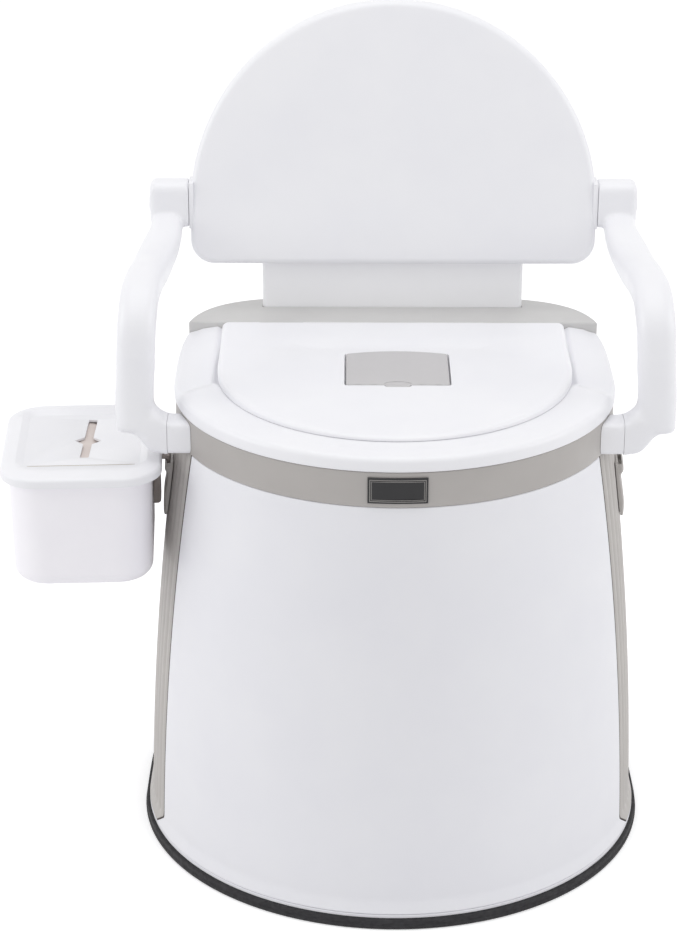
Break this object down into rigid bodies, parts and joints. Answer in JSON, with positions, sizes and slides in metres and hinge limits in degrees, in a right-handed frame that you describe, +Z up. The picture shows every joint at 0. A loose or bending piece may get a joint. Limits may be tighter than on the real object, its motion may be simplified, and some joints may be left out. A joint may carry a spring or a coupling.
{
  "type": "portable camping toilet",
  "caption": "Free-standing commode with a tapered plastic housing, lift-out pail, hinged seat and lid, plug-in backrest with swinging arms, and a hanging paper box.",
  "frame": {"origin": "on the floor, under the centre of the round front of the housing", "axes": "+Z up, -Y towards the front where the user sits down, +X to the right seen from the front"},
  "size_m": [0.5699, 0.4207, 0.7011],
  "materials": {
    "white_shell": "satin moulded white",
    "gloss_white": "glossy moulded white",
    "grey_trim": "satin warm grey",
    "pale_grey_trim": "satin pale grey",
    "bucket_plastic": "satin mid grey",
    "black_rubber": "matt black",
    "black_grip": "matt black",
    "dark_plate": "smooth, near black",
    "scented_block": "waxy pale green",
    "steel": "bright zinc-plated"
  },
  "bodies": {
    "root": {"anti_slip_ring": "black_rubber", "base_pan": "white_shell", "front_shell": "white_shell", "rear_shell": "white_shell", "side_pillar_right": "grey_trim", "side_pillar_left": "grey_trim", "collar": "grey_trim", "rear_deck": "pale_grey_trim", "badge_plate": "dark_plate", "bucket": "bucket_plastic", "bucket_bail": "steel", "bail_grip": "black_grip", "arm_socket_right": "gloss_white", "arm_socket_left": "gloss_white", "side_bracket_right": "grey_trim", "side_bracket_left": "grey_trim", "bracket_screw_right": "steel", "bracket_screw_left": "steel", "hinge_pin_right": "steel", "hinge_pin_left": "steel"},
    "seat": {"seat_ring": "gloss_white", "seat_bumper_front_right": "black_rubber", "seat_bumper_front_left": "black_rubber", "seat_bumper_rear_right": "black_rubber", "seat_bumper_rear_left": "black_rubber"},
    "lid": {"lid": "gloss_white", "deodorant_tray": "white_shell", "deodorant_block": "scented_block", "lid_bumper_right": "black_rubber", "lid_bumper_left": "black_rubber"},
    "cover": {"deodorant_cover": "pale_grey_trim"},
    "backrest": {"backrest_front": "gloss_white", "backrest_rear": "gloss_white", "backrest_post": "gloss_white", "post_screw_1": "steel", "post_screw_2": "steel", "post_screw_3": "steel", "post_screw_4": "steel", "arm_pivot_pin_right": "steel", "arm_pivot_pin_left": "steel"},
    "arm_right": {"arm_right": "gloss_white", "arm_cap_right": "gloss_white"},
    "arm_left": {"arm_left": "gloss_white", "arm_cap_left": "gloss_white"},
    "paper_box": {"paper_box": "white_shell", "paper_box_lid": "gloss_white", "paper_box_hook": "grey_trim"}
  },
  "joints": [
    {"name": "seat_hinge", "type": "hinge", "parent": "root", "child": "seat", "pos_m": [0, 0.085, 0.424], "axis": [1, 0, 0], "range_deg": [-80, 0]},
    {"name": "lid_hinge", "type": "hinge", "parent": "seat", "child": "lid", "pos_m": [0, 0.085, 0.424], "axis": [-1, 0, 0], "range_deg": [0, 92]},
    {"name": "cover_lift", "type": "slide", "parent": "lid", "child": "cover", "axis": [0, -0.0516, 0.9987], "range_m": [0, 0.012]},
    {"name": "backrest_slide", "type": "slide", "parent": "root", "child": "backrest", "axis": [0, 0, 1], "range_m": [0, 0.06]},
    {"name": "arm_right_hinge", "type": "hinge", "parent": "backrest", "child": "arm_right", "pos_m": [0.2, 0.1405, 0.5238], "axis": [-1, 0, 0], "range_deg": [0, 95]},
    {"name": "arm_left_hinge", "type": "hinge", "parent": "backrest", "child": "arm_left", "pos_m": [-0.2, 0.1405, 0.5238], "axis": [-1, 0, 0], "range_deg": [0, 95]},
    {"name": "box_lift", "type": "slide", "parent": "root", "child": "paper_box", "axis": [0, 0, 1], "range_m": [0, 0.0065]}
  ]
}
